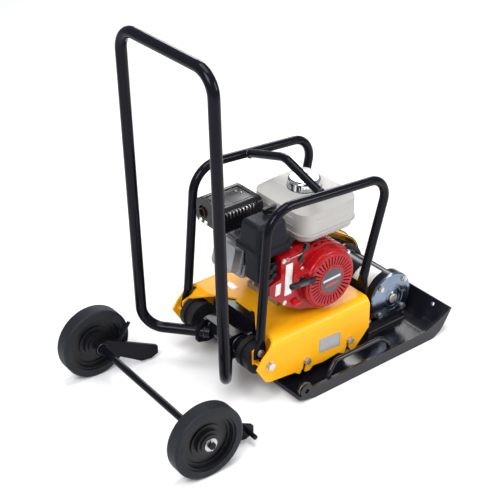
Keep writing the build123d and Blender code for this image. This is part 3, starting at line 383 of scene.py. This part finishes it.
def axes_of(direction):
    """Three unit vectors, the last along direction."""
    z = Vector(direction).normalized()
    x = z.orthogonal().normalized()
    return x, z.cross(x), z


def bridge(bm, low, high):
    """Faces between two rings of vertices; a ring of one vertex makes a fan."""
    count = max(len(low), len(high))
    for i in range(count):
        j = (i + 1) % count
        corners = [low[i % len(low)], low[j % len(low)], high[j % len(high)], high[i % len(high)]]
        corners = list(dict.fromkeys(corners))
        if len(corners) > 2:
            bm.faces.new(corners)


def lathe(bm, profile, base, direction, steps):
    """Turns (radius, height) pairs about a line; a radius of 0 closes the end."""
    x, y, z = axes_of(direction)
    rings = []
    for radius, height in profile:
        centre = Vector(base) + z * height
        if radius == 0:
            rings.append([bm.verts.new(centre)])
            continue
        turns = [2 * math.pi * i / steps for i in range(steps)]
        rings.append([bm.verts.new(centre + (x * math.cos(a) + y * math.sin(a)) * radius) for a in turns])
    for low, high in zip(rings, rings[1:]):
        bridge(bm, low, high)
    return bm


def swept(bm, points, radii, closed=False, steps=8):
    """A round bar through points with a radius at each; its ends are capped."""
    points = [Vector(p) for p in points]
    count = len(points)
    rings = []
    side = None
    for i, point in enumerate(points):
        ahead = points[(i + 1) % count] if closed or i + 1 < count else point
        behind = points[i - 1] if closed or i else point
        way = (ahead - behind).normalized()
        if side is None:
            side = way.orthogonal().normalized()
        side = (side - way * side.dot(way)).normalized()
        up = way.cross(side)
        turns = [2 * math.pi * k / steps for k in range(steps)]
        spokes = [side * math.cos(a) + up * math.sin(a) for a in turns]
        rings.append([bm.verts.new(point + spoke * radii[i]) for spoke in spokes])
    for low, high in zip(rings, rings[1:]):
        bridge(bm, low, high)
    if closed:
        bridge(bm, rings[-1], rings[0])
    else:
        bm.faces.new(rings[0][::-1])
        bm.faces.new(rings[-1])
    return bm


def wire(bm, points, radius, closed=False, steps=8):
    """A round bar of one thickness."""
    return swept(bm, points, [radius] * len(points), closed, steps)


def rib(bm, points, height):
    """A low rib through four points, fading out at both ends."""
    return swept(bm, points, [0.0002, height, height, 0.0002])


def weld_bead(bm, points, radius, closed=False):
    """A bead of overlapping ripples along a line of points."""
    points = [Vector(p) for p in points]
    if closed:
        points.append(points[0])
    path = []
    for start, end in zip(points, points[1:]):
        parts = max(1, round((end - start).length / (WELD_PITCH / 4)))
        path += [start.lerp(end, i / parts) for i in range(parts)]
    if not closed:
        path.append(points[-1])
    ripple = [radius * (0.88 + 0.12 * abs(math.sin(math.pi * i / 4))) for i in range(len(path))]
    return swept(bm, path, ripple, closed)


def circle(centre, direction, radius, steps):
    """Points round a circle."""
    x, y, z = axes_of(direction)
    turns = [2 * math.pi * i / steps for i in range(steps)]
    return [Vector(centre) + (x * math.cos(a) + y * math.sin(a)) * radius for a in turns]


def on_arc(centre, radius, turn, y):
    """A point at a turn from +X towards +Z about a line along Y through centre."""
    return Vector((centre.x + radius * math.cos(turn), y, centre.z + radius * math.sin(turn)))


def rounded_rectangle(half_u, half_v, radius, steps=5):
    """Outline of a rectangle with rounded corners, as (u, v) pairs."""
    outline = []
    for quarter, (su, sv) in enumerate(((1, 1), (-1, 1), (-1, -1), (1, -1))):
        for i in range(steps + 1):
            a = math.pi / 2 * (quarter + i / steps)
            outline.append((su * (half_u - radius) + radius * math.cos(a),
                            sv * (half_v - radius) + radius * math.sin(a)))
    return outline


def slab(bm, outline, origin, u, v, thickness, edge):
    """A flat plate on the plane of u and v, raised along their cross product; edge softens its rim."""
    u, v = Vector(u).normalized(), Vector(v).normalized()
    n = u.cross(v).normalized()
    centre = Vector(origin)
    middle = (sum(p[0] for p in outline) / len(outline), sum(p[1] for p in outline) / len(outline))
    rings = []
    for shrink, height in ((0.0, 0.0), (0.0, thickness - edge), (edge, thickness)):
        ring = []
        for a, b in outline:
            out = Vector((a - middle[0], b - middle[1]))
            scale = max(0.0, 1 - shrink / out.length)
            across = u * (middle[0] + out.x * scale) + v * (middle[1] + out.y * scale)
            ring.append(bm.verts.new(centre + across + n * height))
        rings.append(ring)
    for low, high in zip(rings, rings[1:]):
        bridge(bm, low, high)
    bm.faces.new(rings[0][::-1])
    bm.faces.new(rings[-1])
    return bm


# ---------------------------------------------------------------- shared details
def mm(x, y, z):
    """A point given in millimetres."""
    return Vector((x, y, z)) / 1000


def build_screw(name, centre, direction, radius):
    """A pan-head screw on a washer, with a round recess."""
    head = [(0, 0.0002), (radius * 1.5, 0.0002), (radius * 1.5, 0.0012), (radius, 0.0013), (radius, 0.0028),
            (radius * 0.8, 0.0038), (radius * 0.3, 0.0041), (radius * 0.24, 0.0026), (0, 0.0026)]
    piece(name, lathe(bmesh.new(), head, centre, direction, 24), "zinc_steel")


def build_nut(name, centre, direction, radius):
    """A hexagonal head with a chamfer on a round washer."""
    top = radius * 1.1
    washer = [(0, 0.0), (radius * 1.6, 0.0), (radius * 1.6, 0.0012), (0, 0.0012)]
    head = [(0, 0.0012), (radius, 0.0012), (radius, radius * 0.9), (radius * 0.86, top), (0, top)]
    bm = lathe(bmesh.new(), washer, centre, direction, 28)
    piece(name, lathe(bm, head, centre, direction, 6), "zinc_steel", crease=20)


# ---------------------------------------------------------------- labels
LABELS = (
    # name, centre, direction of u, direction of v, half sizes along u and v, face, printed line, slot
    ("deck_side_label", mm(-120, DECK_RIGHT, 98), (1, 0, -0.07), UP, 0.038, 0.022,
     silver_label, grey_label, "zinc_steel"),
    ("deck_top_label", mm(-233, 95, DECK_TOP), FORWARD, LEFT, 0.009, 0.019,
     white_label, grey_label, "cream_tank"),
    ("shroud_label_tall", mm(-237, SHROUD_FACE, 324), FORWARD, (0.05, 0, 1), 0.0115, 0.046,
     white_label, silver_label, "cream_tank"),
    ("shroud_label_short", mm(-272, SHROUD_FACE, 306), FORWARD, (0.1, 0, 1), 0.0085, 0.0165,
     white_label, silver_label, "cream_tank"),
    ("lip_label", mm(260.5, 38, 58), RIGHT, (0.529, 0, 0.849), 0.048, 0.0255,
     white_label, grey_label, "cream_tank"),
    ("guard_label", mm(138.4, 104, 222), (0.854, 0, -0.5205), LEFT, 0.030, 0.011,
     red_label, white_label, "cream_tank"),
)


def build_labels():
    """Blank flat stickers with rounded corners and a thin printed frame."""
    for name, centre, u, v, half_u, half_v, face, line, slot in LABELS:
        u, v = Vector(u).normalized(), Vector(v).normalized()
        outline = rounded_rectangle(half_u, half_v, 0.0025)
        piece(name, slab(bmesh.new(), outline, centre, u, v, LABEL_THICKNESS, 0.0002), slot, face=face)
        inset = rounded_rectangle(half_u - LABEL_MARGIN, half_v - LABEL_MARGIN, 0.0015)
        lift = u.cross(v).normalized() * LABEL_THICKNESS
        path = [centre + u * a + v * b + lift for a, b in inset]
        piece(name + "_frame", wire(bmesh.new(), path, PRINTED_LINE, True, 6), slot, face=line)


def build_exciter_label():
    """White sticker wrapped over the exciter tube, with a grey line near its edge."""
    low, high = math.radians(148), math.radians(80)
    turns = [low + (high - low) * i / 24 for i in range(25)]
    inner = EXCITER_TUBE_RADIUS + 0.00005
    outer = inner + LABEL_THICKNESS
    section = ((inner, -0.104), (inner, -0.030), (outer, -0.0305), (outer, -0.1035))
    bm = bmesh.new()
    rings = [[bm.verts.new(on_arc(EXCITER, radius, turn, y)) for radius, y in section] for turn in turns]
    for first, second in zip(rings, rings[1:]):
        bridge(bm, first, second)
    bm.faces.new(rings[0][::-1])
    bm.faces.new(rings[-1])
    piece("exciter_label", bm, "cream_tank", face=white_label)
    over = EXCITER_TUBE_RADIUS + 0.0006
    line = [on_arc(EXCITER, over, turn, -0.101) for turn in turns[1:-1]]
    line += [on_arc(EXCITER, over, turn, -0.033) for turn in turns[-2:0:-1]]
    frame_line = wire(bmesh.new(), line, PRINTED_LINE, True, 6)
    piece("exciter_label_frame", frame_line, "cream_tank", face=grey_label)


# ---------------------------------------------------------------- starter
def build_shroud_vent_shade():
    """Dark slabs of painted shade on the shroud's rim, above the starter, standing in for two groups of vent
    slots.
    """
    outline = rounded_rectangle(0.0038, 0.0020, 0.0015)
    bm = bmesh.new()
    for first_angle in (152, 96):
        for i in range(5):
            turn = math.radians(first_angle - 7 * i)
            way = Vector((math.cos(turn), 0, math.sin(turn)))
            across = Vector((-math.sin(turn), 0, math.cos(turn)))
            spot = on_arc(CRANK, VENT_RING_RADIUS, turn, SHROUD_FACE / 1000)
            slab(bm, outline, spot, way, across, 0.0004, 0.0002)
    piece("shroud_vent_shade", bm, "black_plastic")


def build_recoil_disc():
    """Plain dark disc in the middle of the starter cover, with a red rim, a pale bar and a red bar."""
    base = Vector((CRANK.x, RECOIL_FACE + 0.0006, CRANK.z))
    disc = [(0, 0), (0.0375, 0), (0.0375, 0.0012), (0.0362, 0.0018), (0.0, 0.0018)]
    piece("recoil_disc", lathe(bmesh.new(), disc, base, RIGHT, 64), "dark_plastic", face=grey_label)
    rim = [(0.0362, 0.0005), (0.0395, 0.0005), (0.0395, 0.0020), (0.0384, 0.0026), (0.0362, 0.0022),
           (0.0362, 0.0005)]
    piece("recoil_disc_rim", lathe(bmesh.new(), rim, base, RIGHT, 64), "red_paint")
    bars = (("recoil_bar_pale", 0.006, 0.030, silver_label), ("recoil_bar_red", -0.011, 0.022, red_label))
    for name, rise, half, face in bars:
        spot = base + Vector((0, -0.0018, rise))
        outline = rounded_rectangle(half, 0.0032, 0.0015)
        bar = slab(bmesh.new(), outline, spot, (1, 0, 0.05), UP, 0.0004, 0.0002)
        piece(name, bar, "red_paint", face=face)


def build_starter():
    """Rope ferrule, ribs and panel of the grip, and the shroud's ridge and screws."""
    ferrule = [(0.0078, 0.0), (0.0112, 0.0), (0.0112, 0.0012), (0.0096, 0.0024), (0.0078, 0.0024),
               (0.0078, 0.0)]
    piece("rope_ferrule", lathe(bmesh.new(), ferrule, mm(-212, -176, 325), RIGHT, 36), "black_plastic")

    along = Vector((math.sin(GRIP_ANGLE), 0, math.cos(GRIP_ANGLE)))
    middle = mm(GRIP_X, -188.5, GRIP_Z)
    bm = bmesh.new()
    for side in (-1, 1):
        for offset in (0.024, 0.029, 0.034):
            wire(bm, circle(middle + along * (side * offset), along, 0.0079, 28), 0.0008, True, 6)
    piece("grip_ribs", bm, "black_plastic", "starter_grip")
    outline = rounded_rectangle(0.015, 0.0034, 0.001)
    panel = slab(bmesh.new(), outline, mm(GRIP_X, -196.1, GRIP_Z), along, UP, 0.0006, 0.0003)
    piece("grip_panel", panel, "dark_plastic", "starter_grip", grey_label)

    ridge = [on_arc(CRANK, 0.1015, math.radians(132 + 2 * i), -0.1497) for i in range(43)]
    piece("shroud_ridge", wire(bmesh.new(), ridge, 0.0016), "red_paint")
    for i, (x, z) in enumerate(((-192, 339), (-253, 384), (-250, 258))):
        build_screw(f"shroud_screw_{i}", mm(x, SHROUD_FACE, z), RIGHT, 0.0045)


# ---------------------------------------------------------------- fuel tank and air cleaner
def build_tank_details():
    """Two moulded ridges round the tank, the pressing on the cap and the gasket under it."""
    bm = bmesh.new()
    for z, end in ((452, -12), (430, -20)):
        rib(bm, [mm(x, TANK_RIGHT, z) for x in (-130, -124, end - 6, end)], 0.0012)
    for z in (452, 430):
        for x in (TANK_FRONT, TANK_REAR):
            rib(bm, [mm(x, y, z) for y in (-86, -80, 36, 42)], 0.0012)
    piece("tank_ridges", bm, "cream_tank")
    top = mm(CAP_X, CAP_Y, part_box("fuel_cap")[1].z * 1000 + 0.1)
    pressing = [(0.0, -0.0005), (0.0170, -0.0005), (0.0180, 0.0), (0.0255, 0.0), (0.0270, -0.0016),
                (0.0, -0.0016)]
    piece("cap_pressing", lathe(bmesh.new(), pressing, top, UP, 64), "chrome", "fuel_cap")
    neck = circle(mm(CAP_X, CAP_Y, 500.3), UP, 0.0452, 64)
    piece("cap_gasket", wire(bmesh.new(), neck, 0.0009, True), "rubber")


def build_air_cleaner_details():
    """Seal at the cover's seam, ribs on the box's side and the collar under the wing nut."""
    outline = rounded_rectangle(0.0545, 0.0465, 0.0205, 8)
    seam = [mm(-268, -85, 420.2) + Vector((a, b, 0)) for a, b in outline]
    piece("cleaner_seal", wire(bmesh.new(), seam, 0.0011, True), "rubber")
    bm = bmesh.new()
    for x in (-311, -302, -293):
        rib(bm, [mm(x, -132, z) for z in (346, 350, 386, 390)], 0.0015)
    piece("cleaner_box_ribs", bm, "dark_plastic")
    collar = [(0.0035, -0.0002), (0.0165, -0.0002), (0.0165, 0.0016), (0.0145, 0.0028), (0.0035, 0.0028),
              (0.0035, -0.0002)]
    piece("wing_nut_collar", lathe(bmesh.new(), collar, mm(-238, -72, 488), UP, 40), "black_plastic",
          "air_cleaner_cover")


# ---------------------------------------------------------------- muffler, carburettor and linkage
def build_muffler_details():
    """Raised frame and rivets on the guard's top, two bolts at its end and the weld round the outlet."""
    outline = rounded_rectangle(0.0525, 0.0350, 0.006)
    frame_line = [mm(-263.5, 61, 485.6) + Vector((a, b, 0)) for a, b in outline]
    piece("guard_frame", wire(bmesh.new(), frame_line, 0.0011, True), "black_engine")
    for i, y in enumerate((100, 78)):
        build_nut(f"guard_bolt_{i}", mm(-328, y, 423), REAR, 0.0042)
    for i, (x, y) in enumerate(((-226, 62), (-232, 74))):
        build_screw(f"guard_rivet_{i}", mm(x, y, 484.8), UP, 0.0022)
    bead = circle(mm(MUFFLER_END, 90, 449), REAR, 0.0140, 40)
    piece("outlet_weld", weld_bead(bmesh.new(), bead, 0.0016, True), "heated_steel")


def build_carburettor_details():
    """Screws and bowl band of the carburettor, and the governor's rod and arm."""
    screw = [(0, 0), (0.0035, 0), (0.0035, 0.002), (0.0026, 0.003), (0, 0.003)]
    drain = [(0, 0), (0.0055, 0), (0.0055, 0.004), (0.0045, 0.005), (0, 0.005)]
    bm = bmesh.new()
    for y in (CARB_Y - 10, CARB_Y + 10):
        for x in (CARB_X - 12, CARB_X + 12):
            lathe(bm, screw, mm(x, y, 376), UP, 20)
    lathe(bm, drain, mm(CARB_X, CARB_Y, 306), DOWN, 6)
    piece("carburettor_screws", bm, "zinc_steel")
    band = [(0.0180, -0.0015), (0.0192, -0.0010), (0.0192, 0.0010), (0.0180, 0.0015), (0.0180, -0.0015)]
    piece("bowl_band", lathe(bmesh.new(), band, mm(CARB_X, CARB_Y, 334), UP, 40), "turned_steel")
    rod = [mm(-262, -53, 376), mm(-262, -53, 381), mm(-259, -54, 383),
           mm(-190, -62, 381), mm(-187, -62, 379), mm(-187, -62, 374)]
    piece("governor_rod", wire(bmesh.new(), rod, 0.0012), "zinc_steel")
    outline = rounded_rectangle(0.004, 0.0125, 0.003)
    arm = slab(bmesh.new(), outline, mm(-187, -61.5, 363), FORWARD, UP, 0.002, 0.0004)
    piece("governor_arm", arm, "zinc_steel")


def build_throttle_rod():
    """Rod with an eye, hooked into the top of the throttle lever."""
    bm = wire(bmesh.new(), circle(mm(-243, THROTTLE_ROD_Y, 386), RIGHT, 0.0045, 20), 0.0010, True)
    line = [mm(-238.5, THROTTLE_ROD_Y, 386),
            mm(-205, THROTTLE_ROD_Y, 387),
            mm(-194, THROTTLE_ROD_Y + 0.6, 388)]
    swept(bm, line, [0.0013, 0.0016, 0.0013])
    piece("throttle_rod", bm, "turned_steel", "throttle_lever")


# ---------------------------------------------------------------- belt guard
def guard_rim(y, grow, steps=20):
    """Points along the guard's upper edge: round the clutch, down the straight run, round the pulley."""
    span = EXCITER - CRANK
    clutch_end, exciter_end = 0.077, 0.091
    lean = math.atan2(span.z, span.x) + math.acos((clutch_end - exciter_end) / math.hypot(span.x, span.z))
    start, end = math.radians(190), math.radians(-58)
    points = []
    for centre, radius, first, last in ((CRANK, clutch_end, start, lean), (EXCITER, exciter_end, lean, end)):
        for i in range(steps + 1):
            points.append(on_arc(centre, radius + grow, first + (last - first) * i / steps, y))
    return points


def build_guard_details():
    """Rubber trim along both edges of the guard, and the nuts on its outer face."""
    piece("guard_trim", wire(bmesh.new(), guard_rim(0.1265, 0.0), 0.0019), "rubber")
    piece("guard_inner_trim", wire(bmesh.new(), guard_rim(0.0905, -0.0030), 0.0014), "rubber")
    for i, (x, z) in enumerate(((-150, 325), (-80, 318), (150, 165), (206, 105), (60, 240))):
        build_nut(f"guard_nut_{i}", mm(x, 128, z), LEFT, 0.0055)


# ---------------------------------------------------------------- welds
def build_plate_welds():
    """Beads at the plate's grips, side walls, lugs, lip and pads, and at the exciter's feet and tube."""
    bm = bmesh.new()
    for side in (-1, 1):
        for x, lean in ((-175.2, 0.42), (59.2, -0.20)):
            weld_bead(bm, circle(mm(x, side * 235.5, 12), (lean, 0, 1), 0.0072, 24), 0.0018, True)
        weld_bead(bm, [mm(x, side * 241.6, 11) for x in (-214, 200)], 0.0022)
        weld_bead(bm, circle(mm(-252, side * 241.6, 33), LEFT, 0.0203, 40), 0.0018, True)
        weld_bead(bm, [mm(249, side * 242.5, 34), mm(276, side * 242.5, 78)], 0.0022)
    for y in (-128.8, -69.2, 69.2, 128.8):
        weld_bead(bm, [mm(80, y, 11), mm(220, y, 11)], 0.0030)
    for x in (98, 202):
        for start, end in ((-118, -80), (32, 76)):
            weld_bead(bm, [mm(x, start, 39), mm(x, end, 39)], 0.0022)
    for y in (-0.1096, 0.0616):
        weld_bead(bm, circle(EXCITER + LEFT * y, LEFT, EXCITER_TUBE_RADIUS + 0.0002, 90), 0.0022, True)
    piece("plate_welds", bm, "black_paint", face=plate_weld)


def build_hoop_welds():
    """Beads where the lifting bar meets the hoops."""
    bm = bmesh.new()
    for side in (-1, 1):
        weld_bead(bm, circle(mm(-130, side * 141.5, 537), (0, side, -0.32), 0.0124, 36), 0.0018, True)
    piece("hoop_welds", bm, "black_paint", face=black_weld)


def build_yoke_welds():
    """Beads where the handle's tube meets its yoke, and round both faces of each hinge eye."""
    bm = bmesh.new()
    for side in (-1, 1):
        weld_bead(bm, circle(mm(-360, side * 49, 109), (-120, side * 146.5, -2), 0.0154, 36), 0.0020, True)
        for plate_y in (49.2, 60.8):
            weld_bead(bm, circle(mm(-327, side * plate_y, 114), LEFT, 0.0243, 48), 0.0018, True)
    piece("yoke_welds", bm, "black_paint", "handle", black_weld)


def build_axle_welds():
    """Beads on both faces of the trolley's hook plates, round the axle."""
    bm = bmesh.new()
    for side in (-1, 1):
        for gap in (-0.0046, 0.0046):
            spot = AXLE_AT + AXLE_WAY * (side * (WHEEL_TRACK / 2 - HOOK_PLATE_INSET) + gap)
            weld_bead(bm, circle(spot, AXLE_WAY, 0.0146, 36), 0.0018, True)
    piece("axle_welds", bm, "black_paint", "trolley", black_weld)


# ---------------------------------------------------------------- tyres
def build_tyre_details():
    """Moulded ridges on both sides of each tyre and a raised rim round each hub."""
    hub_rim = [(0.0105, 0), (0.0245, 0), (0.0245, 0.0006), (0.0230, 0.0012), (0.0105, 0.0012), (0.0105, 0)]
    for name, side in (("left", 1), ("right", -1)):
        middle = AXLE_AT + AXLE_WAY * (side * WHEEL_TRACK / 2)
        ridges = bmesh.new()
        rims = bmesh.new()
        for face in (-1, 1):
            for radius, out in ((0.0845, 0.0218), (0.0905, 0.0216)):
                wire(ridges, circle(middle + AXLE_WAY * (face * out), AXLE_WAY, radius, 96), 0.0007, True, 6)
            lathe(rims, hub_rim, middle + AXLE_WAY * (face * 0.0210), AXLE_WAY * face, 48)
        piece(f"tyre_ridges_{name}", ridges, "tyre", f"wheel_{name}")
        piece(f"hub_rim_{name}", rims, "black_plastic", f"wheel_{name}")


build_labels()
build_exciter_label()
build_shroud_vent_shade()
build_recoil_disc()
build_starter()
build_tank_details()
build_air_cleaner_details()
build_muffler_details()
build_carburettor_details()
build_throttle_rod()
build_guard_details()
build_plate_welds()
build_hoop_welds()
build_yoke_welds()
build_axle_welds()
build_tyre_details()


# ---------------------------------------------------------------- studio
def build_floor():
    """Wide plain floor just under the ground plane."""
    bm = bmesh.new()
    bmesh.ops.create_grid(bm, x_segments=8, y_segments=8, size=16)
    mesh = bpy.data.meshes.new("floor")
    bm.to_mesh(mesh)
    bm.free()
    mesh.materials.append(floor_paint("floor_paint"))
    floor = bpy.data.objects.new("floor", mesh)
    floor.location = (0, 0, -0.0005)
    bpy.context.scene.collection.objects.link(floor)


def build_lights():
    """A pale surround and four softboxes, all turned to the middle of the machine."""
    world = bpy.data.worlds.new("studio")
    world.use_nodes = True
    background = world.node_tree.nodes["Background"]
    background.inputs["Color"].default_value = (0.93, 0.95, 1.0, 1)
    background.inputs["Strength"].default_value = 0.42
    bpy.context.scene.world = world

    target = Vector((-0.1, 0, 0.3))
    softboxes = (
        # name, place, size in metres, power in watts
        ("key", (-2.6, -1.2, 2.8), 1.6, 100),
        ("right", (1.6, -2.6, 1.9), 1.3, 62),
        ("back", (2.3, 2.8, 2.2), 1.4, 50),
        ("top", (-0.2, 0.0, 3.4), 1.8, 65),
    )
    for name, place, size, power in softboxes:
        light = bpy.data.lights.new(name, "AREA")
        light.size = size
        light.energy = power
        lamp = bpy.data.objects.new(name, light)
        lamp.location = place
        lamp.rotation_euler = (target - Vector(place)).to_track_quat("-Z", "Y").to_euler()
        bpy.context.scene.collection.objects.link(lamp)


def build_camera():
    """Long lens, high behind the machine's right side."""
    lens = bpy.data.cameras.new("camera")
    lens.lens = 97.7
    lens.sensor_width = 36
    camera = bpy.data.objects.new("camera", lens)
    camera.location = (-2.1585, -2.3958, 2.1683)
    look = Vector((0.53656, 0.67148, -0.51109))
    camera.rotation_euler = look.to_track_quat("-Z", "Y").to_euler()
    bpy.context.scene.collection.objects.link(camera)
    bpy.context.scene.camera = camera


build_floor()
build_lights()
build_camera()
bpy.context.scene.view_settings.view_transform = "Standard"
